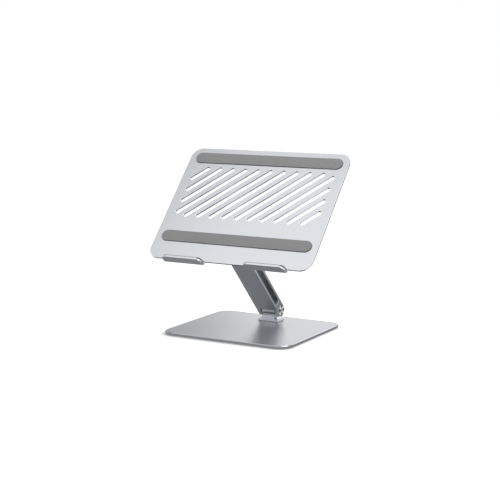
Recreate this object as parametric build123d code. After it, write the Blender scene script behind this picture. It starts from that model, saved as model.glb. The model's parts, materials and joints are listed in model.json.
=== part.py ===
from build123d import *
from math import cos, radians, sin, sqrt, tan
import os

os.makedirs("parts", exist_ok=True)

# Folding laptop stand. Millimetres and degrees.
# The origin is the middle of the underside, on the desk. +Z is up, the front faces -Y.

# Base plate and the silicone sheet under it
BASE_WIDTH = 214.0
BASE_DEPTH = 187.0
BASE_THICKNESS = 4.0
BASE_CORNER_RADIUS = 20.0
BASE_TOP_CHAMFER = 0.8
BASE_UNDER_CHAMFER = 0.5
BASE_PAD_THICKNESS = 1.0
BASE_PAD_INSET = 6.0
BASE_PIN_SETBACK = 34.8         # rear edge of the base to the lower shaft
BASE_PIN_HEIGHT = 18.0          # top of the base to the lower shaft

# Arm, with a fork at each end
ARM_LENGTH = 149.7              # shaft to shaft
ARM_WIDTH = 38.0
ARM_THICKNESS = 18.0
ARM_ANGLE = 46.0                # above level, leaning to the front
ARM_CHAMFER = 0.4
ARM_HEEL_RADIUS = 5.5           # lower end, on the front; the other ends are full rounds
WINDOW_WALL = 3.5
WINDOW_SETBACK = 18.5           # shaft to the near end of the window
WINDOW_CHAMFER = 0.4
EAR_THICKNESS = 6.5
FORK_CORNER_RADIUS = 1.0
FORK_ROOT_GAP = 2.0             # knuckle to the bottom of the fork

# Tray
TRAY_WIDTH = 275.0
TRAY_DEPTH = 209.0
TRAY_THICKNESS = 3.0
TRAY_CORNER_RADIUS = 18.0
TRAY_TILT = 47.55
TRAY_CHAMFER = 0.2
TRAY_UNDER_CHAMFER = 0.3        # round the underside and the outside of the hooks
TRAY_PIN_SETBACK = 36.3         # front edge of the tray to the upper shaft
TRAY_PIN_DEPTH = 14.0           # underside of the tray to the upper shaft

# Vent slots, slanted in a field that keeps clear of the edges
SLOT_WIDTH = 7.5
SLOT_PITCH = 22.15              # along the tray's width
SLOT_ANGLE = 44.0
SLOT_FIELD_SIDE = 15.5
SLOT_FIELD_FRONT = 76.9
SLOT_FIELD_REAR = 35.8
SLOT_LEAST_LENGTH = 12.0

# Hooks, bent up from the tray's front edge
HOOK_WIDTH = 67.0
HOOK_SIDE_SETBACK = 35.0        # side of the tray to the hook's outer end
HOOK_TAB = 1.5                  # flat run in front of the tray before the bend
HOOK_BEND_RADIUS = 2.0
HOOK_HEIGHT = 15.2              # above the tray's top face
HOOK_CORNER_RADIUS = 8.5
HOOK_ROOT_RADIUS = 1.2

# Silicone strips on the tray and liners in the hooks
STRIP_WIDTH = 19.3
STRIP_HEIGHT = 1.3
STRIP_SIDE_SETBACK = 10.5
STRIP_EDGE_RADIUS = 0.5
FRONT_STRIP_SETBACK = 40.8      # front edge of the tray to the middle of the strip
REAR_STRIP_SETBACK = 19.1       # rear edge of the tray to the middle of the strip
LINER_THICKNESS = 1.0           # at the rim
LINER_ROOT_THICKNESS = 4.0      # on the tray
LINER_INSET = 0.3
LINER_DROP = 0.5                # below the hook's rim
LINER_CORNER_RADIUS = 2.0
LINER_BEND_GAP = 0.3            # from the inside of the hook's bend, on the radius

# Hinge brackets
FOOT_THICKNESS = 3.5
FOOT_CORNER_RADIUS = 4.0
FOOT_EDGE_RADIUS = 1.2
FOOT_UNDER_CHAMFER = 0.6        # leaves a dark seam round the foot
KNUCKLE_RADIUS = 8.5
KNUCKLE_CHAMFER = 0.4
NECK_DEPTH = 10.0               # front to rear, between the foot and the knuckle
BASE_FOOT_FRONT = 10.0          # lower shaft to the front edge of the foot
BASE_FOOT_REAR = 10.0
TRAY_FOOT_FRONT = 10.0
TRAY_FOOT_REAR = 15.5
PEDESTAL_WIDTH = 21.0           # at its top, between the ears
PEDESTAL_DROP = 8.0             # lower shaft to the top of the pedestal
PEDESTAL_GAP = 0.5              # from the ears and the bottom of the fork as the arm turns

# Countersunk screws
SCREW_RADIUS = 2.0
SCREW_HEAD_RADIUS = 4.0
SCREW_DRIVE_RADIUS = 1.45
SCREW_DRIVE_DEPTH = 1.2
SCREW_END_GAP = 0.3             # end of the screw to the far face of the foot
SCREW_SIDE_SETBACK = 4.5        # side of the foot to the screw
BASE_SCREW_SPACING = 10.0
TRAY_SCREW_SPACING = 9.0

# Friction hinge
SHAFT_RADIUS = 4.0
THREAD_RADIUS = 3.0
HEAD_RADIUS = 6.5
HEAD_THICKNESS = 2.5
HEAD_FLATS = 10.5               # across the flats that key the head in its ear
BUSH_WALL = 1.0
BUSH_GAP = 0.4                  # between the two bushes, at the middle of the knuckle
WASHER_RADIUS = 7.5
WASHER_THICKNESS = 0.7
SPRING_RADIUS = 6.5
SPRING_THICKNESS = 0.5
SPRING_CONE = 0.15
NUT_FLATS = 10.0
NUT_THICKNESS = 2.0
CAP_RADIUS = 8.5
CAP_THICKNESS = 1.2
CAP_PROUD = 0.2
CAP_CHAMFER = 0.3

# Fits
RUN_GAP = 0.05                  # turning shaft in its bush, on the radius
FACE_GAP = 0.05                 # between faces that slide or stack
SEAT_GAP = 0.02                 # between pieces that are fixed together

# Places along the shafts, from the middle of the arm
ARM_HALF = ARM_WIDTH / 2
FORK_HALF = ARM_HALF - EAR_THICKNESS
KNUCKLE_HALF = FORK_HALF - WASHER_THICKNESS - 2 * FACE_GAP
CAP_SEAT = ARM_HALF + CAP_PROUD - CAP_THICKNESS - FACE_GAP
HEAD_SEAT = CAP_SEAT - HEAD_THICKNESS - FACE_GAP
SPRING_RISE = SPRING_THICKNESS + SPRING_CONE
NUT_SEAT = CAP_SEAT - NUT_THICKNESS - FACE_GAP
SPRING_SEAT = NUT_SEAT - 2 * SPRING_RISE - 2 * FACE_GAP
BUSH_RADIUS = SHAFT_RADIUS + RUN_GAP + BUSH_WALL
FORK_ROOT = KNUCKLE_RADIUS + FORK_ROOT_GAP
HEEL_REACH = ARM_HEEL_RADIUS + (ARM_THICKNESS / 2 - ARM_HEEL_RADIUS) * sqrt(2)

# Places of the three groups
BASE_TOP = BASE_PAD_THICKNESS + BASE_THICKNESS
PIN_Y = BASE_DEPTH / 2 - BASE_PIN_SETBACK
PIN_Z = BASE_TOP + BASE_PIN_HEIGHT
UPPER_PIN_Y = PIN_Y - ARM_LENGTH * cos(radians(ARM_ANGLE))
UPPER_PIN_Z = PIN_Z + ARM_LENGTH * sin(radians(ARM_ANGLE))

LOWER_HINGE = Pos(0, PIN_Y, PIN_Z) * Rot(90 - ARM_ANGLE, 0, 0)
UPPER_HINGE = LOWER_HINGE * Pos(0, 0, ARM_LENGTH)
# The tray is drawn flat, with its front edge on the X axis and its top face at z = 0.
TRAY_PIN_Z = -TRAY_THICKNESS - TRAY_PIN_DEPTH
TRAY = Pos(0, UPPER_PIN_Y, UPPER_PIN_Z) * Rot(TRAY_TILT, 0, 0) * Pos(0, -TRAY_PIN_SETBACK, -TRAY_PIN_Z)


def turned(*profile):
    """A solid turned about the X axis, from (x, radius) points."""
    return revolve(make_face(Polyline(*profile, close=True)), Axis.X)


def disc(start, end, radius, bore=0.0):
    """A disc or ring across the X axis, from x = start to x = end."""
    return turned((start, bore), (end, bore), (end, radius), (start, radius))


def outer_edges(part, last):
    """The outline of a plate's highest (last = -1) or lowest (last = 0) face."""
    return part.faces().sort_by(Axis.Z)[last].outer_wire().edges()


# Screws: drawn along +Z with the top of the head at z = 0

def screw_body(length, gap=0.0):
    """The outside of a countersunk screw, or of its hole where a gap is given."""
    head_depth = SCREW_HEAD_RADIUS - SCREW_RADIUS
    profile = Polyline(
        (0, 0),
        (SCREW_HEAD_RADIUS + gap, 0),
        (SCREW_RADIUS + gap, head_depth),
        (SCREW_RADIUS + gap, length),
        (0, length),
        close=True,
    )
    return revolve(Plane.XZ * make_face(profile), Axis.Z)


def screw(length):
    drive = extrude(RegularPolygon(SCREW_DRIVE_RADIUS, 6), SCREW_DRIVE_DEPTH)
    return screw_body(length) - drive


def screw_grid(middle, spacing):
    """Four screw places on a plate, around (0, middle)."""
    side = ARM_HALF - SCREW_SIDE_SETBACK
    return [
        Pos(x, middle + y, 0)
        for x in (-side, side)
        for y in (-spacing / 2, spacing / 2)
    ]


BASE_SCREWS = [
    Pos(0, 0, BASE_PAD_THICKNESS) * place
    for place in screw_grid(PIN_Y + (BASE_FOOT_REAR - BASE_FOOT_FRONT) / 2, BASE_SCREW_SPACING)
]
# The tray's screws point down, from its top face, under the front strip.
TRAY_SCREWS = [
    place * Rot(0, 180, 0)
    for place in screw_grid(FRONT_STRIP_SETBACK, TRAY_SCREW_SPACING)
]


def screw_holes(places, length):
    return [place * screw_body(length, SEAT_GAP) for place in places]


def screw_set(places, plate_thickness):
    length = plate_thickness + FOOT_THICKNESS - SCREW_END_GAP
    return Compound(children=[place * screw(length) for place in places])


# Base

def base_plate():
    plate = extrude(RectangleRounded(BASE_WIDTH, BASE_DEPTH, BASE_CORNER_RADIUS), BASE_THICKNESS)
    plate = chamfer(outer_edges(plate, -1), BASE_TOP_CHAMFER)
    plate = chamfer(outer_edges(plate, 0), BASE_UNDER_CHAMFER)
    return Pos(0, 0, BASE_PAD_THICKNESS) * plate - screw_holes(BASE_SCREWS, BASE_THICKNESS)


def base_pad():
    outline = RectangleRounded(
        BASE_WIDTH - 2 * BASE_PAD_INSET,
        BASE_DEPTH - 2 * BASE_PAD_INSET,
        BASE_CORNER_RADIUS - BASE_PAD_INSET,
    )
    return extrude(outline, BASE_PAD_THICKNESS)


# Hinge brackets: drawn with the foot's seat at z = 0 and the shaft along X above it

def hinge_bracket(pin_height, foot_front, foot_rear):
    foot_depth = foot_front + foot_rear
    foot = extrude(RectangleRounded(ARM_WIDTH, foot_depth, FOOT_CORNER_RADIUS), FOOT_THICKNESS)
    foot = chamfer(outer_edges(foot, 0), FOOT_UNDER_CHAMFER)
    foot = fillet(outer_edges(foot, -1), FOOT_EDGE_RADIUS)
    foot = Pos(0, (foot_rear - foot_front) / 2, 0) * foot
    neck = Pos(0, pin_height / 2) * Rectangle(NECK_DEPTH, pin_height)
    knuckle = Pos(0, pin_height) * Circle(KNUCKLE_RADIUS)
    knuckle = extrude(Plane.YZ * (neck + knuckle), KNUCKLE_HALF, both=True)
    rims = knuckle.edges().group_by(Axis.X)
    knuckle = chamfer(rims[0] + rims[-1], KNUCKLE_CHAMFER)
    bore = Pos(0, 0, pin_height) * disc(-ARM_HALF, ARM_HALF, BUSH_RADIUS + SEAT_GAP)
    return foot + knuckle - bore


def base_pedestal():
    """A block under the knuckle that widens to the foot below the reach of the ears."""
    waist = BASE_PIN_HEIGHT - HEEL_REACH - PEDESTAL_GAP
    half = PEDESTAL_WIDTH / 2
    skirt = half + waist - FOOT_THICKNESS
    right_side = Polyline(
        (0, BASE_PIN_HEIGHT - PEDESTAL_DROP),
        (half, BASE_PIN_HEIGHT - PEDESTAL_DROP),
        (half, waist),
        (skirt, FOOT_THICKNESS),
        (skirt, FOOT_THICKNESS / 2),
        (0, FOOT_THICKNESS / 2),
    )
    section = make_face(right_side + mirror(right_side, about=Plane.YZ))
    return extrude(Plane.XZ * section, FORK_ROOT - PEDESTAL_GAP, both=True)


def base_bracket():
    bracket = hinge_bracket(BASE_PIN_HEIGHT, BASE_FOOT_FRONT, BASE_FOOT_REAR) + base_pedestal()
    bracket = Pos(0, PIN_Y, BASE_TOP) * bracket
    return bracket - screw_holes(BASE_SCREWS, BASE_THICKNESS + FOOT_THICKNESS - SCREW_END_GAP + FACE_GAP)


def tray_bracket():
    bracket = hinge_bracket(TRAY_PIN_DEPTH, TRAY_FOOT_FRONT, TRAY_FOOT_REAR)
    bracket = Pos(0, TRAY_PIN_SETBACK, -TRAY_THICKNESS) * Rot(0, 180, 0) * bracket
    return bracket - screw_holes(TRAY_SCREWS, TRAY_THICKNESS + FOOT_THICKNESS - SCREW_END_GAP + FACE_GAP)


# Friction hinge: drawn with the shaft along X through the origin

def shaft():
    body = turned(
        (-HEAD_SEAT - HEAD_THICKNESS, 0),
        (-HEAD_SEAT - HEAD_THICKNESS, HEAD_RADIUS),
        (-HEAD_SEAT, HEAD_RADIUS),
        (-HEAD_SEAT, SHAFT_RADIUS),
        (SPRING_SEAT - FACE_GAP, SHAFT_RADIUS),
        (SPRING_SEAT - FACE_GAP, THREAD_RADIUS),
        (NUT_SEAT + NUT_THICKNESS, THREAD_RADIUS),
        (NUT_SEAT + NUT_THICKNESS, 0),
    )
    return body & keyed_length(HEAD_FLATS)


def keyed_length(flats):
    """A slab along the shaft that gives its head two flats."""
    return Box(2 * ARM_WIDTH, 2 * HEAD_RADIUS + ARM_WIDTH, flats)


def shaft_pockets():
    """What the shaft, its head, the springs and the nut need in the two ears."""
    head = disc(-ARM_WIDTH, -HEAD_SEAT, HEAD_RADIUS + SEAT_GAP) & keyed_length(HEAD_FLATS + 2 * SEAT_GAP)
    springs = disc(SPRING_SEAT, ARM_WIDTH, SPRING_RADIUS + SEAT_GAP)
    bore = disc(-ARM_WIDTH, ARM_WIDTH, SHAFT_RADIUS + SEAT_GAP)
    caps = [disc(side * CAP_SEAT, side * ARM_WIDTH, CAP_RADIUS + SEAT_GAP) for side in (-1, 1)]
    return [head, springs, bore, *caps]


def bush(side):
    return disc(side * BUSH_GAP / 2, side * KNUCKLE_HALF, BUSH_RADIUS, SHAFT_RADIUS + RUN_GAP)


def washer(side):
    inner = FORK_HALF - FACE_GAP - WASHER_THICKNESS
    return disc(side * inner, side * (inner + WASHER_THICKNESS), WASHER_RADIUS, SHAFT_RADIUS + RUN_GAP)


def disc_springs():
    """Two cones, rim to rim."""
    bore = THREAD_RADIUS + RUN_GAP
    first = SPRING_SEAT
    second = SPRING_SEAT + SPRING_RISE + FACE_GAP
    inner = turned(
        (first, bore),
        (first + SPRING_THICKNESS, bore),
        (first + SPRING_RISE, SPRING_RADIUS),
        (first + SPRING_CONE, SPRING_RADIUS),
    )
    outer = turned(
        (second + SPRING_CONE, bore),
        (second + SPRING_RISE, bore),
        (second + SPRING_THICKNESS, SPRING_RADIUS),
        (second, SPRING_RADIUS),
    )
    return Compound(children=[inner, outer])


def nut():
    hexagon = RegularPolygon(NUT_FLATS / 2, 6, major_radius=False) - Circle(THREAD_RADIUS + SEAT_GAP)
    return Pos(NUT_SEAT, 0, 0) * extrude(Plane.YZ * hexagon, NUT_THICKNESS)


def cap(side):
    inner = side * (CAP_SEAT + FACE_GAP)
    outer = side * (CAP_SEAT + FACE_GAP + CAP_THICKNESS)
    return turned(
        (inner, 0),
        (inner, CAP_RADIUS),
        (outer - side * CAP_CHAMFER, CAP_RADIUS),
        (outer, CAP_RADIUS - CAP_CHAMFER),
        (outer, 0),
    )


# Arm: drawn upright, with the lower shaft through the origin

def arm_heel():
    """The front quarter of the lower end, with a squarer corner than a full round."""
    side = ARM_THICKNESS / 2
    quarter = Pos(-side / 2, -side / 2) * Rectangle(side, side)
    corner = quarter.vertices().group_by(Axis.X)[0].sort_by(Axis.Y)[0]
    return fillet(corner, ARM_HEEL_RADIUS)


def arm_body():
    middle = Pos(0, ARM_LENGTH / 2)
    outline = middle * Rot(0, 0, 90) * SlotCenterToCenter(ARM_LENGTH, ARM_THICKNESS)
    bar = extrude(Plane.YZ * (outline + arm_heel()), ARM_HALF, both=True)
    rims = bar.edges().group_by(Axis.X)
    bar = chamfer(rims[0] + rims[-1], ARM_CHAMFER)

    window_width = ARM_THICKNESS - 2 * WINDOW_WALL
    window = middle * Rot(0, 0, 90) * SlotOverall(ARM_LENGTH - 2 * WINDOW_SETBACK, window_width)
    bar -= extrude(Plane.YZ * window, ARM_WIDTH, both=True)
    sides = bar.faces().filter_by(Axis.X).sort_by(Axis.X)
    rims = [wire.edges() for side in (sides[0], sides[-1]) for wire in side.inner_wires()]
    bar = chamfer(rims[0] + rims[1], WINDOW_CHAMFER)

    for pin in (Pos(0, 0, 0), Pos(0, 0, ARM_LENGTH) * Rot(180, 0, 0)):
        notch_depth = FORK_ROOT + ARM_THICKNESS
        notch = Box(2 * FORK_HALF, 2 * ARM_THICKNESS, notch_depth)
        root_edges = notch.edges().filter_by(Axis.Y).group_by(Axis.Z)[-1]
        notch = fillet(root_edges, FORK_CORNER_RADIUS)
        bar -= pin * Pos(0, 0, FORK_ROOT - notch_depth / 2) * notch
    for pin in (Pos(0, 0, 0), Pos(0, 0, ARM_LENGTH)):
        bar -= [pin * pocket for pocket in shaft_pockets()]
    return bar


# Tray: drawn flat, with its front edge on the X axis

def vent_slots():
    """Slanted slots, each as long as its field allows."""
    half_width = TRAY_WIDTH / 2 - SLOT_FIELD_SIDE - SLOT_WIDTH / 2
    half_depth = (TRAY_DEPTH - SLOT_FIELD_FRONT - SLOT_FIELD_REAR - SLOT_WIDTH) / 2
    middle = (SLOT_FIELD_FRONT + TRAY_DEPTH - SLOT_FIELD_REAR) / 2
    run, rise = cos(radians(SLOT_ANGLE)), sin(radians(SLOT_ANGLE))
    pairs = int((half_width + half_depth / tan(radians(SLOT_ANGLE))) / SLOT_PITCH) + 1
    slots = []
    for i in range(-pairs, pairs):
        x = (i + 0.5) * SLOT_PITCH
        start = max(-half_depth / rise, (-half_width - x) / run)
        end = min(half_depth / rise, (half_width - x) / run)
        if end - start > SLOT_LEAST_LENGTH - SLOT_WIDTH:
            centre = Pos(x + (start + end) / 2 * run, middle + (start + end) / 2 * rise)
            slots.append(centre * Rot(0, 0, SLOT_ANGLE) * SlotCenterToCenter(end - start, SLOT_WIDTH))
    return slots


HOOK_MIDDLE = TRAY_WIDTH / 2 - HOOK_SIDE_SETBACK - HOOK_WIDTH / 2
HOOK_FACE = -HOOK_TAB - HOOK_BEND_RADIUS      # inner face of the hook's lip


def hook():
    """A strip of the tray's own sheet, bent up to a lip with round corners."""
    half_sheet = TRAY_THICKNESS / 2
    path = FilletPolyline(
        (0, -half_sheet),
        (HOOK_FACE - half_sheet, -half_sheet),
        (HOOK_FACE - half_sheet, HOOK_HEIGHT),
        radius=HOOK_BEND_RADIUS + half_sheet,
    )
    lip = extrude(Plane.YZ * trace(path, TRAY_THICKNESS), HOOK_WIDTH / 2, both=True)
    corners = lip.edges().filter_by(Axis.Y).group_by(Axis.Z)[-1]
    return fillet(corners, HOOK_CORNER_RADIUS)


def broad_faces(plate):
    """The underside and the top of a sheet."""
    return plate.faces().filter_by(Axis.Z).sort_by(SortBy.AREA)[-2:].sort_by(Axis.Z)


def sheared(edges):
    """The edges of the tray's sheet, without those across the hooks, where the bends begin."""
    return [edge for edge in edges if edge.center().Y > SEAT_GAP - HOOK_TAB]


def tray_plate():
    outline = RectangleRounded(TRAY_WIDTH, TRAY_DEPTH, TRAY_CORNER_RADIUS)
    sheet = Pos(0, TRAY_DEPTH / 2, -TRAY_THICKNESS) * extrude(outline, TRAY_THICKNESS)
    plate = sheet + [Pos(side * HOOK_MIDDLE, 0, 0) * hook() for side in (-1, 1)]

    hook_end = HOOK_MIDDLE + HOOK_WIDTH / 2 + SEAT_GAP
    roots = plate.edges().filter_by(Axis.Z).filter_by_position(Axis.Y, -SEAT_GAP, SEAT_GAP)
    plate = fillet(roots.filter_by_position(Axis.X, -hook_end, hook_end), HOOK_ROOT_RADIUS)
    plate -= [Pos(0, 0, -TRAY_THICKNESS) * extrude(slot, TRAY_THICKNESS) for slot in vent_slots()]

    # Every sheared edge is broken, round the hooks too, but not the lines where the bends begin.
    under, top = broad_faces(plate)
    plate = chamfer(sheared(under.outer_wire().edges()), TRAY_UNDER_CHAMFER)
    under, top = broad_faces(plate)
    slot_rims = [edge for wire in under.inner_wires() for edge in wire.edges()]
    plate = chamfer(sheared(top.edges()) + slot_rims, TRAY_CHAMFER)
    return plate - screw_holes(TRAY_SCREWS, TRAY_THICKNESS)


def strip(middle):
    outline = Pos(0, middle) * SlotOverall(TRAY_WIDTH - 2 * STRIP_SIDE_SETBACK, STRIP_WIDTH)
    pad = extrude(outline, STRIP_HEIGHT)
    return fillet(outer_edges(pad, -1), STRIP_EDGE_RADIUS)


def hook_liner(side):
    """A wedge that lines the lip, thin at the rim and thick on the tray."""
    rim = HOOK_HEIGHT - LINER_DROP
    outline = Polyline(
        (HOOK_FACE, 0),
        (HOOK_FACE + LINER_ROOT_THICKNESS, 0),
        (HOOK_FACE + LINER_THICKNESS, rim),
        (HOOK_FACE, rim),
        close=True,
    )
    section = make_face(outline)
    bend = section.vertices().group_by(Axis.Y)[0].sort_by(Axis.X)[0]
    section = fillet(bend, HOOK_BEND_RADIUS + LINER_BEND_GAP)
    liner = extrude(Plane.YZ * section, HOOK_WIDTH / 2 - LINER_INSET, both=True)
    corners = liner.edges().filter_by(Axis.Y).group_by(Axis.Z)[-1]
    return Pos(side * HOOK_MIDDLE, 0, 0) * fillet(corners, LINER_CORNER_RADIUS)


def hinge_nodes(name, place):
    nodes = {
        name + "_shaft": shaft(),
        name + "_disc_springs": disc_springs(),
        name + "_nut": nut(),
    }
    for word, side in (("left", -1), ("right", 1)):
        nodes[f"{name}_bush_{word}"] = bush(side)
        nodes[f"{name}_washer_{word}"] = washer(side)
        nodes[f"{name}_cap_{word}"] = cap(side)
    return {node: place * solid for node, solid in nodes.items()}


def tray_nodes():
    nodes = {
        "tray_plate": tray_plate(),
        "tray_bracket": tray_bracket(),
        "tray_bracket_screws": screw_set(TRAY_SCREWS, TRAY_THICKNESS),
        "front_strip": strip(FRONT_STRIP_SETBACK),
        "rear_strip": strip(TRAY_DEPTH - REAR_STRIP_SETBACK),
        "left_hook_liner": hook_liner(-1),
        "right_hook_liner": hook_liner(1),
    }
    return {node: TRAY * solid for node, solid in nodes.items()}


NODES = {
    "base_plate": base_plate(),
    "base_pad": base_pad(),
    "base_bracket": base_bracket(),
    "base_bracket_screws": screw_set(BASE_SCREWS, BASE_THICKNESS),
    "arm_body": LOWER_HINGE * arm_body(),
    **hinge_nodes("lower", LOWER_HINGE),
    **hinge_nodes("upper", UPPER_HINGE),
    **tray_nodes(),
}

for node, solid in NODES.items():
    export_step(solid, f"parts/{node}.step")
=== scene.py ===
import json
import math

import bmesh
import bpy
from mathutils import Matrix, Vector

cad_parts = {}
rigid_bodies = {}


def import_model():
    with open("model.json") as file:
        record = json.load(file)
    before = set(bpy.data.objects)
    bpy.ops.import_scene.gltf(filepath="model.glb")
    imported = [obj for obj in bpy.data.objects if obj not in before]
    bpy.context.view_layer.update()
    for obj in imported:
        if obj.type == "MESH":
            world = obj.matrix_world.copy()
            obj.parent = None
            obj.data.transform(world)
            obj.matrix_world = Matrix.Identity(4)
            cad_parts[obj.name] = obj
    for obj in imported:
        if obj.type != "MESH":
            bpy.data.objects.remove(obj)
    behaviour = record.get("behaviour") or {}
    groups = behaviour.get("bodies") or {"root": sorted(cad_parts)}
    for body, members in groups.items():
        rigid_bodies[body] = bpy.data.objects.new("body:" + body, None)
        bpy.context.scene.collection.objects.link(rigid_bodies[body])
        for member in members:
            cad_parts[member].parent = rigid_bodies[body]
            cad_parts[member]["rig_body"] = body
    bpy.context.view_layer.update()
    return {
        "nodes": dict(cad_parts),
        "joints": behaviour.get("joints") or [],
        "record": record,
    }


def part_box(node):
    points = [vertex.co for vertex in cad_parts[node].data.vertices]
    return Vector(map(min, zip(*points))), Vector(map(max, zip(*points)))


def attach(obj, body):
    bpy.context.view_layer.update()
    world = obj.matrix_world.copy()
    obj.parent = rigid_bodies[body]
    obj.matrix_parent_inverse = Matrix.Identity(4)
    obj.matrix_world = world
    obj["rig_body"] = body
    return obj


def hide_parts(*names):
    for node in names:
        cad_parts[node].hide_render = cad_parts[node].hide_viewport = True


# Folding laptop stand of silver anodised aluminium with grey silicone pads.
# Metres, +Z up, the front of the stand faces -Y.

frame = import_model()
MM = 0.001
ACROSS = Vector((1, 0, 0))
FORWARD = Vector((0, -1, 0))
UP = Vector((0, 0, 1))

# Camera, fitted to the edges of the base and the tray
CAMERA_AZIMUTH = math.radians(29.37)
CAMERA_ELEVATION = math.radians(8.93)
CAMERA_DISTANCE = 1.9123
CAMERA_TARGET = Vector((-0.00071, -0.00697, 0.12514))
CAMERA_LENS = 91.34
CAMERA_SENSOR = 36.0

# Silicone pads
PAD_SEGMENTS = 24
EDGE_SEGMENTS = 4
STRIP_EDGE_RADIUS = 0.5 * MM
STRIP_MERGE = 0.01 * MM
LINER_RIM_THICKNESS = 1.0 * MM
LINER_LEFT_RADIUS = 8.5 * MM
LINER_RIGHT_RADIUS = 2.0 * MM
LINER_BEND_RADIUS = 2.3 * MM
LINER_EDGE_RADIUS = 0.25 * MM
BASE_PAD_CORNER_RADIUS = 14.0 * MM
BASE_PAD_EDGE_RADIUS = 0.35 * MM

# Turned caps
RIDGE_PITCH = 0.5 * MM
RIDGE_DEPTH = 0.08 * MM
CAP_RIM = 0.3 * MM
CAP_SEGMENTS = 96
CAP_MERGE = 0.001 * MM

SHARP_ANGLE = math.radians(24)
LEAST_EDGE = 0.001 * MM         # run along an axis from which an edge counts as lying along it

# Finishes. A level is a grey from 0 to 1, and a scale is in features to the metre. A FACING or RANGE
# pair says where a mark starts and where it is full, and a ROUGHNESS pair is what a noise runs between.

# Blasted silver
METAL_COOL = 0.045              # how far the grey leans to blue
COOL_RED_LOSS = 0.4             # red lost for each part of blue gained
BASE_LEVEL = 0.62
BASE_EDGE_LEVEL = 0.36
ARM_LEVEL = 0.55
ARM_EDGE_LEVEL = 0.52
TRAY_LEVEL = 0.56
TRAY_EDGE_LEVEL = 0.66
BRACKET_LEVEL = 0.625
BRACKET_EDGE_LEVEL = 0.46
CLOUD_SCALE = 18.0
CLOUD_DETAIL = 4.0
CLOUD_SPREAD = 0.02
CLOUD_ROUGHNESS = (0.27, 0.33)
GRAIN_SCALE = 2400.0
GRAIN_DETAIL = 2.0
GRAIN_ROUGHNESS = (-0.04, 0.04)
GRAIN_STRENGTH = 0.12
GRAIN_DEPTH = 0.03 * MM
CUT_FACING = math.sqrt(0.5)     # an edge at 45 degrees
CUT_SPREAD = 0.2
CUT_POLISH = 0.14

# Painted shade on the tray's walls that look down and to the left, and on its underside
TRAY_SHADE_LEVEL = 0.08
TRAY_SHADE_FACING = (0.74, 0.86)
TRAY_SHADE_DEPTH = 0.3 * MM           # below the tray's top, where the painted wall shade is full
TRAY_SHADE_DOWN = 0.94                # how far the shaded walls look down the tray
TRAY_SHADE_LEFT = 0.34                # and to its left
UNDERSIDE_SHADE_SHARE = 0.8
UNDERSIDE_SHADE_FACING = (-0.8, -0.95)

# Painted highlights in four fans on the caps and on the arm round them, on dark metal
PAINTED_FAN_RADIUS = 8.7 * MM
PAINTED_FAN_SOFTNESS = 0.1 * MM
PAINTED_FAN_FACING = (0.95, 0.99)
PAINTED_FAN_DARK = 0.16
PAINTED_FAN_BRIGHT = 0.96
FAN_RANGE = (0.3, 0.7545)
FAN_WHITENESS = 0.8
FAN_CENTRE = 1e-9               # keeps the middle of the fans from dividing by 0
CAP_NOISE_SCALE = 900.0
CAP_ROUGHNESS = (0.20, 0.28)

# Painted light on the front of the lower bracket, which is also shaded with a leant normal
PAINTED_FRONT_LEVEL = 0.92
PAINTED_FRONT_LEAN = Vector((0, 0, -0.18))
PAINTED_FRONT_DROP = 7.0 * MM          # lower hinge to the top of the painted front
PAINTED_FRONT_SOFTNESS = 1.0 * MM
PAINTED_FRONT_FACING = (0.9, 0.98)

# Silicone
PAD_LEVEL = 0.27
FOOT_LEVEL = 0.10
DUST_SCALE = 60.0
DUST_DETAIL = 5.0
DUST_SPREAD = 0.06
DUST_ROUGHNESS = (0.66, 0.78)
SKIN_SCALE = 3200.0
SKIN_DETAIL = 2.0
SKIN_ROUGHNESS = (-0.05, 0.05)
SKIN_STRENGTH = 0.25
SKIN_DEPTH = 0.05 * MM
SILICONE_SPECULAR = 0.35
# Painted shade on the side walls of the strips
PAD_WALL_SHADE_FACING = (0.75, 0.45)
PAD_WALL_SHADE_SHARE = 0.2

# Steel
FASTENER_LEVEL = 0.55
FASTENER_ROUGHNESS = 0.30
SPRING_LEVEL = 0.30
SPRING_ROUGHNESS = 0.36
STEEL_DARK_SHARE = 0.9
STEEL_BRIGHT_SHARE = 1.08
STEEL_SCALE = 140.0
STEEL_MARK_SCALE = 2000.0
STEEL_MARK_DETAIL = 2.0
STEEL_MARK_ROUGHNESS = (-0.06, 0.06)
STEEL_MARK_STRENGTH = 0.1
STEEL_MARK_DEPTH = 0.02 * MM

# Bushes and washers
BUSH_LEVEL = 0.035
SPECK_LEVEL = 0.12
SPECK_SCALE = 2600.0
SPECK_DETAIL = 1.0
SPECK_RANGE = (0.66, 0.7433)
SPECK_ROUGHNESS = (0.48, 0.68)

# Studio floor, with the shade where the stand touches it
FLOOR_SIZE = 12.0
FLOOR_DROP = 0.1 * MM
FLOOR_LEVEL = 0.85
FLOOR_GLOW = 0.55
SHADE_LEVEL = 0.5
SHADE_GLOW = 0.22
CONTACT_REACH = 30.0 * MM
CONTACT_DEPTH = 2.2
CONTACT_LEAN = (0.35, 0.50, 0.79)
CONTACT_SAMPLES = 16

# Sky
SKY_LIGHT = 0.60
SKY_OVERHEAD = 0.4
SKY_WHITE_TO = 0.5
SKY_OVERHEAD_FROM = 0.75

# Softboxes: place, aim, width, height and watts
SOFTBOXES = {
    "overhead": ((-0.42, -0.66, 1.30), (0, 0, 0.19), 1.3, 1.1, 4.8),
    "right": ((0.95, 0.10, 1.05), (0, 0, 0.10), 0.9, 0.9, 3.8),
}

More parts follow.
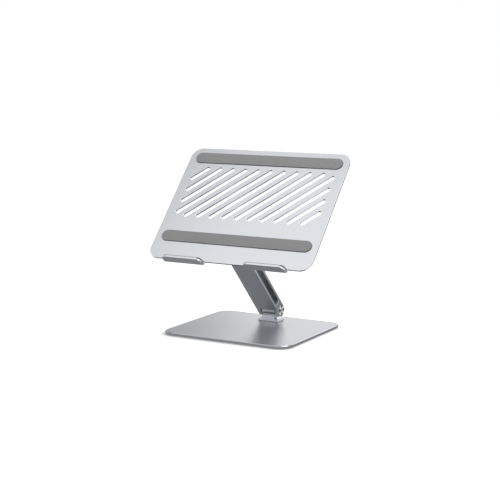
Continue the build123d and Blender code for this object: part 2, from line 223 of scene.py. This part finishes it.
# Cards that only metal sees: lowest and highest corner, brightness, and where along Y a card
# starts to thin out and is gone
UNFADED = (1.5, 1.6)
FLOOR_CARD_LOW = -0.06 * MM
FLOOR_CARD_HIGH = -0.05 * MM
CARDS = {
    "side_card": ((-0.51, 0.15, 0.0), (-0.50, 1.30, 0.70), 0.42, (0.30, 0.90)),
    "front_card": ((-1.10, -0.91, 0.0), (0.05, -0.90, 0.30), 0.22, UNFADED),
    "wall_card": ((0.24, 0.34, 0.09), (0.50, 0.35, 0.28), 0.35, UNFADED),
    # The floor cards are painted shade: dark sheets just above the floor, round and under the stand, that
    # only the metal mirrors
    "floor_shade_card": ((-0.45, -0.22, FLOOR_CARD_LOW), (0.16, 0.16, FLOOR_CARD_HIGH), 0.35, (0.15, 0.16)),
    "rear_card": ((0.04, 0.34, 0.0), (0.45, 0.35, 0.09), 0.35, UNFADED),
    # Painted shade of the floor behind and to the right of the base
    "rear_floor_shade_card": ((0.02, 0.10, FLOOR_CARD_LOW), (0.35, 0.34, FLOOR_CARD_HIGH), 0.30, UNFADED),
    "right_floor_shade_card": ((0.105, -0.10, FLOOR_CARD_LOW), (0.17, 0.10, FLOOR_CARD_HIGH), 0.25, UNFADED),
    "slot_card": ((0.12, 0.05, 0.30), (0.34, 0.24, 0.301), 0.90, UNFADED),
    "rear_glow": ((0.27, 1.20, 0.42), (0.58, 1.21, 0.80), 2.3, UNFADED),
    "top_glow": ((0.25, -0.35, 1.30), (1.05, 1.25, 1.31), 3.2, UNFADED),
}


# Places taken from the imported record

def group_frame(origin, normal):
    """A frame with X across the stand and Z along a group's normal."""
    along = normal.cross(ACROSS)
    turn = Matrix((ACROSS, along, normal)).transposed()
    return Matrix.Translation(origin) @ turn.to_4x4()


def span(node, group=Matrix.Identity(4)):
    """Lowest and highest corner of a CAD node, measured along a group's own axes."""
    inverse = group.inverted()
    points = [inverse @ vertex.co for vertex in frame["nodes"][node].data.vertices]
    low = Vector([min(point[i] for point in points) for i in range(3)])
    high = Vector([max(point[i] for point in points) for i in range(3)])
    return low, high


LAPTOP_REST = next(mount for mount in frame["record"]["mounts"] if mount["name"] == "laptop_rest")
TRAY_NORMAL = Vector(LAPTOP_REST["axis"]).normalized()
TRAY_FRAME = group_frame(Vector(LAPTOP_REST["pos_m"]), TRAY_NORMAL)
TRAY_TOP = span("front_strip", TRAY_FRAME)[0].z + TRAY_NORMAL.dot(TRAY_FRAME.translation)
TRAY_SHADE_FACE = (ACROSS.cross(TRAY_NORMAL) * TRAY_SHADE_DOWN - ACROSS * TRAY_SHADE_LEFT).normalized()
HINGE_AXES = {joint["name"]: Vector(joint["pos_m"]) for joint in frame["joints"]}
PAINTED_FRONT_TOP = HINGE_AXES["base_hinge"].z - PAINTED_FRONT_DROP


# Shader maths

class Value:
    """The output of a node. Arithmetic on values adds Math nodes to its tree."""

    def __init__(self, shader, socket):
        self.shader = shader
        self.socket = socket

    def maths(self, operation, first, second=0.0):
        return self.shader.node("Math", {"operation": operation}, {0: first, 1: second})

    def __add__(self, other):
        return self.maths("ADD", self, other)

    def __radd__(self, other):
        return self.maths("ADD", other, self)

    def __sub__(self, other):
        return self.maths("SUBTRACT", self, other)

    def __rsub__(self, other):
        return self.maths("SUBTRACT", other, self)

    def __mul__(self, other):
        return self.maths("MULTIPLY", self, other)

    def __rmul__(self, other):
        return self.maths("MULTIPLY", other, self)

    def __truediv__(self, other):
        return self.maths("DIVIDE", self, other)

    def __pow__(self, other):
        return self.maths("POWER", self, other)

    def __abs__(self):
        return self.maths("ABSOLUTE", self)

    def limited(self):
        """The value held between 0 and 1."""
        return self.shader.node("Clamp", {}, {"Value": self})

    def ramp(self, start, full):
        """0 up to the start, 1 from where it is full, and a straight line between them."""
        return ((self - start) / (full - start)).limited()

    def between(self, low, high):
        """A value from 0 to 1, spread from low to high."""
        return low + self * (high - low)


class Shader:
    """A node tree that starts empty."""

    def __init__(self, owner):
        owner.use_nodes = True
        self.tree = owner.node_tree
        self.tree.nodes.clear()

    def node(self, kind, settings, sockets, output=0):
        """Adds a node: its type, its settings, what its sockets hold, and the output that is used."""
        made = self.tree.nodes.new("ShaderNode" + kind)
        for name, setting in settings.items():
            setattr(made, name, setting)
        for name, held in sockets.items():
            if isinstance(held, Value):
                self.tree.links.new(held.socket, made.inputs[name])
            else:
                made.inputs[name].default_value = held
        return Value(self, made.outputs[output]) if len(made.outputs) else None

    def place(self):
        """Where the surface is, in its object's own frame."""
        return self.node("TexCoord", {}, {}, "Object")

    def noise(self, place, scale, detail=3.0):
        """Cloudy noise from 0 to 1, with about this many features to the metre."""
        return self.node("TexNoise", {}, {"Vector": place, "Scale": scale, "Detail": detail})

    def blend(self, share, first, second):
        """A colour between two colours."""
        colours = {0: share, 6: first, 7: second}
        return self.node("Mix", {"data_type": "RGBA"}, colours, 2)

    def mix(self, share, first, second):
        """A surface between two surfaces."""
        return self.node("MixShader", {}, {0: share, 1: first, 2: second})

    def glow(self, strength):
        """White light of its own."""
        return self.node("Emission", {}, {"Color": grey(1.0), "Strength": strength})

    def along(self, place, direction):
        """How far a place lies in a direction, in metres."""
        return self.node("VectorMath", {"operation": "DOT_PRODUCT"}, {0: place, 1: direction}, "Value")

    def facing(self, direction):
        """How far the surface faces a direction of its own frame, from -1 to 1."""
        normal = self.node("TexCoord", {}, {}, "Normal")
        return self.along(normal, direction)

    def fans(self, place, hinge):
        """A mask of four fans of painted highlight round a hinge, and the squared distance from its axis.
        """
        offset = self.node("VectorMath", {"operation": "SUBTRACT"}, {0: place, 1: hinge})
        forward = self.node("SeparateXYZ", {}, {0: offset}, "Y")
        upward = self.node("SeparateXYZ", {}, {0: offset}, "Z")
        reach = forward * forward + upward * upward + FAN_CENTRE
        double_angle_sine = forward * upward / reach * 2
        return (double_angle_sine ** 2).ramp(*FAN_RANGE), reach

    def leaning(self, share, lean):
        """The surface's normal, tipped by a share of a lean."""
        normal = self.node("NewGeometry", {}, {}, "Normal")
        tip = self.node("VectorMath", {"operation": "SCALE"}, {0: lean, "Scale": share})
        tipped = self.node("VectorMath", {"operation": "ADD"}, {0: normal, 1: tip})
        return self.node("VectorMath", {"operation": "NORMALIZE"}, {0: tipped})

    def relief(self, height, strength, depth, normal=None):
        """Fine bumps on the surface, or on a normal of its own."""
        sockets = {"Height": height, "Strength": strength, "Distance": depth}
        if normal is not None:
            sockets["Normal"] = normal
        return self.node("Bump", {}, sockets)

    def surface(self, **sockets):
        """The finished surface. Sockets are named as on the shader, with _ for a space."""
        named = {name.replace("_", " "): held for name, held in sockets.items()}
        bsdf = self.node("BsdfPrincipled", {}, named)
        self.node("OutputMaterial", {}, {"Surface": bsdf})


def grey(level, cool=0.0):
    """A grey colour, a little blue where cool is above 0."""
    return (level * (1 - COOL_RED_LOSS * cool), level, level * (1 + cool), 1.0)


def silver(level):
    """The grey of anodised aluminium."""
    return grey(level, METAL_COOL)


def new_finish(name):
    """An empty material and the shader that fills it."""
    material = bpy.data.materials.new(name)
    return material, Shader(material)


# Finishes

def blasted_aluminium(name, level, edge_level, broad_face, marks=None):
    """Bead-blasted, anodised silver. Edges at 45 degrees to the broad face are cut to another level.
    Marks adds painted shade or painted light: it takes a colour, and gives the colour, the shine and the
    normal."""
    material, shader = new_finish(name)
    place = shader.place()
    cloud = shader.noise(place, CLOUD_SCALE, CLOUD_DETAIL)
    grain = shader.noise(place, GRAIN_SCALE, GRAIN_DETAIL)
    off_edge = abs(abs(shader.facing(broad_face)) - CUT_FACING)
    cut = off_edge.ramp(CUT_SPREAD, 0.0)
    colour = shader.blend(cloud, silver(level - CLOUD_SPREAD), silver(level + CLOUD_SPREAD))
    shine = 0.0
    normal = None
    if marks is not None:
        colour, shine, normal = marks(shader, place, colour)
    roughness = cloud.between(*CLOUD_ROUGHNESS) + grain.between(*GRAIN_ROUGHNESS)
    shader.surface(
        Base_Color=shader.blend(cut, colour, silver(edge_level)),
        Metallic=1 - shine * FAN_WHITENESS,
        Roughness=roughness - cut * CUT_POLISH,
        Normal=shader.relief(grain, GRAIN_STRENGTH, GRAIN_DEPTH, normal),
    )
    return material


def painted_tray_shade(shader, place, colour):
    """Painted shade: darker walls below the tray's top that look down the tray, and a darker underside."""
    below = shader.along(place, TRAY_NORMAL).ramp(TRAY_TOP, TRAY_TOP - TRAY_SHADE_DEPTH)
    tray_wall_shade = shader.facing(TRAY_SHADE_FACE).ramp(*TRAY_SHADE_FACING) * below
    colour = shader.blend(tray_wall_shade, colour, silver(TRAY_SHADE_LEVEL))
    under = shader.facing(TRAY_NORMAL).ramp(*UNDERSIDE_SHADE_FACING)
    colour = shader.blend(under, colour, silver(TRAY_LEVEL * UNDERSIDE_SHADE_SHARE))
    return colour, 0.0, None


def painted_fan_sheen(shader, place, colour):
    """Painted highlights: bright, less metallic fans on the sides of the arm, round both of its hinges."""
    side = abs(shader.facing(ACROSS)).ramp(*PAINTED_FAN_FACING)
    inner_radius = PAINTED_FAN_RADIUS - PAINTED_FAN_SOFTNESS
    shine = 0.0
    for hinge in HINGE_AXES.values():
        fans, reach = shader.fans(place, hinge)
        near = reach.ramp(PAINTED_FAN_RADIUS ** 2, inner_radius ** 2) * side
        colour = shader.blend(near, colour, painted_fan_colour(shader, fans))
        shine = near * fans + shine
    return colour, shine, None


def painted_front_light(shader, place, colour):
    """Painted light: a brighter front below the knuckle of the bracket, shaded as if it leant a little."""
    low = shader.along(place, UP).ramp(PAINTED_FRONT_TOP, PAINTED_FRONT_TOP - PAINTED_FRONT_SOFTNESS)
    front = shader.facing(FORWARD).ramp(*PAINTED_FRONT_FACING) * low
    colour = shader.blend(front, colour, silver(PAINTED_FRONT_LEVEL))
    return colour, 0.0, shader.leaning(front, PAINTED_FRONT_LEAN)


def painted_fan_colour(shader, fans):
    """Dark metal with four painted highlight fans."""
    return shader.blend(fans, grey(PAINTED_FAN_DARK), grey(PAINTED_FAN_BRIGHT))


def turned_aluminium_painted_fans(name, centre):
    """Metal faced on a lathe, with painted highlights: four bright, less metallic fans round the centre on
    dark metal.
    """
    material, shader = new_finish(name)
    place = shader.place()
    fans, _ = shader.fans(place, centre)
    cloud = shader.noise(place, CAP_NOISE_SCALE)
    shader.surface(
        Base_Color=painted_fan_colour(shader, fans),
        Metallic=1 - fans * FAN_WHITENESS,
        Roughness=cloud.between(*CAP_ROUGHNESS),
    )
    return material


def silicone(name, level, top_face=None):
    """Matte moulded rubber with a fine grain and a little dust. Where a top face is given, the side
    walls are darkened with painted shade."""
    material, shader = new_finish(name)
    place = shader.place()
    skin = shader.noise(place, SKIN_SCALE, SKIN_DETAIL)
    dust = shader.noise(place, DUST_SCALE, DUST_DETAIL)
    colour = shader.blend(dust, grey(level * (1 - DUST_SPREAD)), grey(level * (1 + DUST_SPREAD)))
    if top_face is not None:
        wall = shader.facing(top_face).ramp(*PAD_WALL_SHADE_FACING)
        colour = shader.blend(wall, colour, grey(level * PAD_WALL_SHADE_SHARE))
    shader.surface(
        Base_Color=colour,
        Roughness=dust.between(*DUST_ROUGHNESS) + skin.between(*SKIN_ROUGHNESS),
        Specular_IOR_Level=SILICONE_SPECULAR,
        Normal=shader.relief(skin, SKIN_STRENGTH, SKIN_DEPTH),
    )
    return material


def plated_steel(name, level, roughness):
    """Plain cloudy steel with fine turning marks."""
    material, shader = new_finish(name)
    place = shader.place()
    cloud = shader.noise(place, STEEL_SCALE)
    marks = shader.noise(place, STEEL_MARK_SCALE, STEEL_MARK_DETAIL)
    shader.surface(
        Base_Color=shader.blend(cloud, grey(level * STEEL_DARK_SHARE), grey(level * STEEL_BRIGHT_SHARE)),
        Metallic=1.0,
        Roughness=roughness + marks.between(*STEEL_MARK_ROUGHNESS),
        Normal=shader.relief(marks, STEEL_MARK_STRENGTH, STEEL_MARK_DEPTH),
    )
    return material


def bush_polymer(name):
    """Black filled polymer with pale specks."""
    material, shader = new_finish(name)
    specks = shader.noise(shader.place(), SPECK_SCALE, SPECK_DETAIL)
    pale = specks.ramp(*SPECK_RANGE)
    shader.surface(
        Base_Color=shader.blend(pale, grey(BUSH_LEVEL), grey(SPECK_LEVEL)),
        Roughness=pale.between(*SPECK_ROUGHNESS),
    )
    return material


def background_rays(shader):
    """1 for rays from the camera, or by way of metal or glass, and 0 for the light on matte surfaces."""
    camera, glossy, clear = [
        shader.node("LightPath", {}, {}, f"Is {kind} Ray")
        for kind in ("Camera", "Glossy", "Transmission")
    ]
    return (camera + glossy + clear).limited()


def studio_floor(name):
    """A pale floor, white to the camera and in reflections, that keeps the stand's shadow."""
    material, shader = new_finish(name)
    lean = shader.node("CombineXYZ", {}, dict(enumerate(CONTACT_LEAN)))
    reach = {"Distance": CONTACT_REACH, "Normal": lean}
    open_share = shader.node("AmbientOcclusion", {"samples": CONTACT_SAMPLES}, reach, "AO")
    contact = ((1 - open_share) * CONTACT_DEPTH).limited()
    paint = shader.node("BsdfDiffuse", {}, {"Color": grey(FLOOR_LEVEL)})
    white = shader.node("AddShader", {}, {0: paint, 1: shader.glow(FLOOR_GLOW)})
    lit = shader.mix(background_rays(shader), paint, white)
    dim = shader.node("BsdfDiffuse", {}, {"Color": grey(SHADE_LEVEL)})
    dark = shader.node("AddShader", {}, {0: dim, 1: shader.glow(SHADE_GLOW)})
    shaded = shader.mix(contact, lit, dark)
    clear = shader.node("BsdfTransparent", {}, {})
    below = shader.node("NewGeometry", {}, {}, "Backfacing")
    shader.node("OutputMaterial", {}, {"Surface": shader.mix(below, shaded, clear)})
    return material


def studio_card(name, level, fade_from, fade_to):
    """A glowing card that thins out along Y."""
    material, shader = new_finish(name)
    along = shader.node("SeparateXYZ", {}, {0: shader.place()}, "Y")
    thin = along.ramp(fade_from, fade_to)
    clear = shader.node("BsdfTransparent", {}, {})
    shader.node("OutputMaterial", {}, {"Surface": shader.mix(thin, shader.glow(level), clear)})
    return material


# Modelling

def block(low, high):
    """A box between two corners."""
    form = bmesh.new()
    bmesh.ops.create_cube(form, size=1.0)
    bmesh.ops.scale(form, vec=high - low, verts=form.verts)
    bmesh.ops.translate(form, vec=(low + high) / 2, verts=form.verts)
    return form


def edges_along(form, axis):
    """The edges of a box that run along one of its axes."""
    return [edge for edge in form.edges if abs((edge.verts[0].co - edge.verts[1].co)[axis]) > LEAST_EDGE]


def face_edges(form, direction):
    """The outline of the face that lies furthest in a direction."""
    face = max(form.faces, key=lambda face: face.calc_center_median().dot(direction))
    return list(face.edges)


def round_edges(form, edges, radius, segments):
    """Rounds edges of a form."""
    bmesh.ops.bevel(
        form,
        geom=edges,
        offset=radius,
        offset_type="OFFSET",
        segments=segments,
        profile=0.5,
        affect="EDGES",
        material=-1,
        clamp_overlap=True,
    )


def new_object(name, form, finish):
    """Makes an object of a finished form."""
    mesh = bpy.data.meshes.new(name)
    form.to_mesh(mesh)
    form.free()
    mesh.materials.append(finish)
    made = bpy.data.objects.new(name, mesh)
    bpy.context.scene.collection.objects.link(made)
    return made


def piece(name, form, body, finish, slot, *nodes):
    """Makes a piece of the stand and puts it in the place of its CAD nodes."""
    made = new_object(name, form, finish)
    made.data.shade_smooth()
    made.data.set_sharp_from_angle(angle=SHARP_ANGLE)
    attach(made, body)
    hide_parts(*nodes)


def strip_form(node):
    """A silicone strip with round ends and a soft upper edge."""
    low, high = span(node, TRAY_FRAME)
    form = block(low, high)
    round_edges(form, edges_along(form, 2), (high.y - low.y) / 2, PAD_SEGMENTS)
    bmesh.ops.remove_doubles(form, verts=form.verts, dist=STRIP_MERGE)
    round_edges(form, face_edges(form, UP), STRIP_EDGE_RADIUS, EDGE_SEGMENTS)
    bmesh.ops.transform(form, matrix=TRAY_FRAME, verts=form.verts)
    return form


def liner_form(node):
    """A silicone wedge in a hook, thin at the rim, with round upper corners."""
    low, high = span(node, TRAY_FRAME)
    middle = (low + high) / 2
    form = block(low, high)
    rim = [vert for vert in form.verts if vert.co.z > middle.z and vert.co.y > middle.y]
    thinned = low.y + LINER_RIM_THICKNESS - high.y
    bmesh.ops.translate(form, vec=Vector((0, thinned, 0)), verts=rim)
    lower = [edge for edge in edges_along(form, 0) if max(vert.co.z for vert in edge.verts) < middle.z]
    bend = [edge for edge in lower if edge.verts[0].co.y < middle.y]
    upper = [edge for edge in edges_along(form, 1) if min(vert.co.z for vert in edge.verts) > middle.z]
    left, right = sorted(upper, key=lambda edge: edge.verts[0].co.x)
    round_edges(form, [left], LINER_LEFT_RADIUS, PAD_SEGMENTS)
    round_edges(form, [right], LINER_RIGHT_RADIUS, PAD_SEGMENTS)
    bend = [edge for edge in bend if edge.is_valid]
    round_edges(form, bend, LINER_BEND_RADIUS, EDGE_SEGMENTS)
    round_edges(form, face_edges(form, -FORWARD), LINER_EDGE_RADIUS, EDGE_SEGMENTS)
    bmesh.ops.transform(form, matrix=TRAY_FRAME, verts=form.verts)
    return form


def base_pad_form():
    """The silicone sheet under the base, with a soft lower edge."""
    low, high = span("base_pad")
    form = block(low, high)
    round_edges(form, edges_along(form, 2), BASE_PAD_CORNER_RADIUS, PAD_SEGMENTS)
    round_edges(form, face_edges(form, -UP), BASE_PAD_EDGE_RADIUS, EDGE_SEGMENTS)
    return form


def cap_form(node, hinge):
    """A disc turned about its hinge, with fine rings on its outer face."""
    low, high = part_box(node)
    outer = max(low.x, high.x, key=abs)
    inward = -math.copysign(1.0, outer)
    radius = (high.y - low.y) / 2
    thickness = high.x - low.x
    rings = int((radius - CAP_RIM) / RIDGE_PITCH)
    profile = [(i * RIDGE_PITCH / 2, RIDGE_DEPTH * (i % 2)) for i in range(2 * rings + 1)]
    profile += [(radius - CAP_RIM, 0.0), (radius, CAP_RIM), (radius, thickness), (0.0, thickness)]
    form = bmesh.new()
    centre = hinge + ACROSS * (outer - hinge.x)
    points = [form.verts.new(centre + ACROSS * (inward * depth) + UP * out) for out, depth in profile]
    for first, second in zip(points, points[1:]):
        form.edges.new((first, second))
    bmesh.ops.spin(
        form,
        geom=form.verts[:] + form.edges[:],
        cent=hinge,
        axis=ACROSS,
        angle=2 * math.pi,
        steps=CAP_SEGMENTS,
        use_merge=True,
    )
    bmesh.ops.remove_doubles(form, verts=form.verts, dist=CAP_MERGE)
    bmesh.ops.recalc_face_normals(form, faces=form.faces)
    return form


# The stand

SILVER = {
    "base": blasted_aluminium("base_silver", BASE_LEVEL, BASE_EDGE_LEVEL, UP),
    "arm": blasted_aluminium("arm_silver", ARM_LEVEL, ARM_EDGE_LEVEL, ACROSS, painted_fan_sheen),
    "tray": blasted_aluminium("tray_silver", TRAY_LEVEL, TRAY_EDGE_LEVEL, TRAY_NORMAL, painted_tray_shade),
}
BRACKET_SILVER = blasted_aluminium("bracket_silver", BRACKET_LEVEL, BRACKET_EDGE_LEVEL, UP, painted_front_light)
PAD_GREY = silicone("pad_grey", PAD_LEVEL)
STRIP_GREY = silicone("strip_grey", PAD_LEVEL, TRAY_NORMAL)
FOOT_GREY = silicone("foot_grey", FOOT_LEVEL)
CAP_SILVER = {
    "lower": turned_aluminium_painted_fans("lower_cap_silver", HINGE_AXES["base_hinge"]),
    "upper": turned_aluminium_painted_fans("upper_cap_silver", HINGE_AXES["tray_hinge"]),
}

NODE_FINISHES = {"base_bracket": BRACKET_SILVER}
SLOT_FINISHES = {
    "steel": plated_steel("fastener_steel", FASTENER_LEVEL, FASTENER_ROUGHNESS),
    "spring_steel": plated_steel("spring_steel_dark", SPRING_LEVEL, SPRING_ROUGHNESS),
    "bush_polymer": bush_polymer("bush_black"),
    "turned_cap": CAP_SILVER["lower"],
    "silicone": PAD_GREY,
}


def dress_nodes():
    """Gives each CAD node its own finish or that of its slot, or else the silver of its group."""
    for subpart in frame["record"]["subparts"]:
        node = frame["nodes"][subpart["node"]]
        finish = NODE_FINISHES.get(subpart["node"]) or SLOT_FINISHES.get(subpart["material_slot"])
        node.data.materials.clear()
        node.data.materials.append(finish or SILVER[node["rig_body"]])


def add_pads():
    """The silicone strips, hook liners and base pad, with soft edges."""
    for node in ("front_strip", "rear_strip"):
        piece(node + "_pad", strip_form(node), "tray", STRIP_GREY, "silicone", node)
    for node in ("left_hook_liner", "right_hook_liner"):
        piece(node + "_pad", liner_form(node), "tray", PAD_GREY, "silicone", node)
    piece("base_pad_sheet", base_pad_form(), "base", FOOT_GREY, "silicone", "base_pad")


def add_caps():
    """The four turned caps of the hinges."""
    for hinge, joint in (("lower", "base_hinge"), ("upper", "tray_hinge")):
        for side in ("left", "right"):
            node = f"{hinge}_cap_{side}"
            form = cap_form(node, HINGE_AXES[joint])
            piece(node + "_turned", form, "arm", CAP_SILVER[hinge], "turned_cap", node)


# Studio

def add_floor():
    """A wide floor, just under the stand."""
    form = bmesh.new()
    bmesh.ops.create_grid(form, x_segments=1, y_segments=1, size=FLOOR_SIZE / 2)
    bmesh.ops.translate(form, vec=-UP * FLOOR_DROP, verts=form.verts)
    floor = new_object("floor", form, studio_floor("studio_floor"))


def aim(thing, target):
    """Turns a lamp or a camera to a target."""
    thing.rotation_euler = (target - thing.location).to_track_quat("-Z", "Y").to_euler()


def add_softboxes():
    """The lamps."""
    for name, (place, target, width, height, power) in SOFTBOXES.items():
        lamp = bpy.data.lights.new(name, "AREA")
        lamp.shape = "RECTANGLE"
        lamp.size = width
        lamp.size_y = height
        lamp.energy = power
        box = bpy.data.objects.new(name, lamp)
        box.location = place
        aim(box, Vector(target))
        bpy.context.scene.collection.objects.link(box)


def add_cards():
    """Dim and bright cards that the metal mirrors."""
    for name, (low, high, level, fade) in CARDS.items():
        card = new_object(name, block(Vector(low), Vector(high)), studio_card(name, level, *fade))
        card.visible_camera = False
        card.visible_diffuse = False
        card.visible_shadow = False


def add_world():
    """A sky that is white to the camera and in reflections, and lights matte surfaces more dimly."""
    world = bpy.data.worlds.new("studio")
    bpy.context.scene.world = world
    shader = Shader(world)
    direction = shader.node("TexCoord", {}, {}, "Generated")
    height = shader.node("SeparateXYZ", {}, {0: direction}, "Z")
    white, overhead, light = [
        shader.node("Background", {}, {"Color": grey(1.0), "Strength": strength})
        for strength in (1.0, SKY_OVERHEAD, SKY_LIGHT)
    ]
    seen = shader.mix(height.ramp(SKY_WHITE_TO, SKY_OVERHEAD_FROM), white, overhead)
    sky = shader.mix(background_rays(shader), light, seen)
    shader.node("OutputWorld", {}, {"Surface": sky})


def add_camera():
    """The camera, placed round its target."""
    data = bpy.data.cameras.new("camera")
    data.lens = CAMERA_LENS
    data.sensor_width = CAMERA_SENSOR
    camera = bpy.data.objects.new("camera", data)
    level = math.cos(CAMERA_ELEVATION)
    towards = Vector((
        math.sin(CAMERA_AZIMUTH) * level,
        -math.cos(CAMERA_AZIMUTH) * level,
        math.sin(CAMERA_ELEVATION),
    ))
    camera.location = CAMERA_TARGET + towards * CAMERA_DISTANCE
    aim(camera, CAMERA_TARGET)
    bpy.context.scene.collection.objects.link(camera)
    bpy.context.scene.camera = camera


dress_nodes()
add_pads()
add_caps()
add_floor()
add_softboxes()
add_cards()
add_world()
add_camera()
bpy.context.scene.view_settings.view_transform = "Standard"
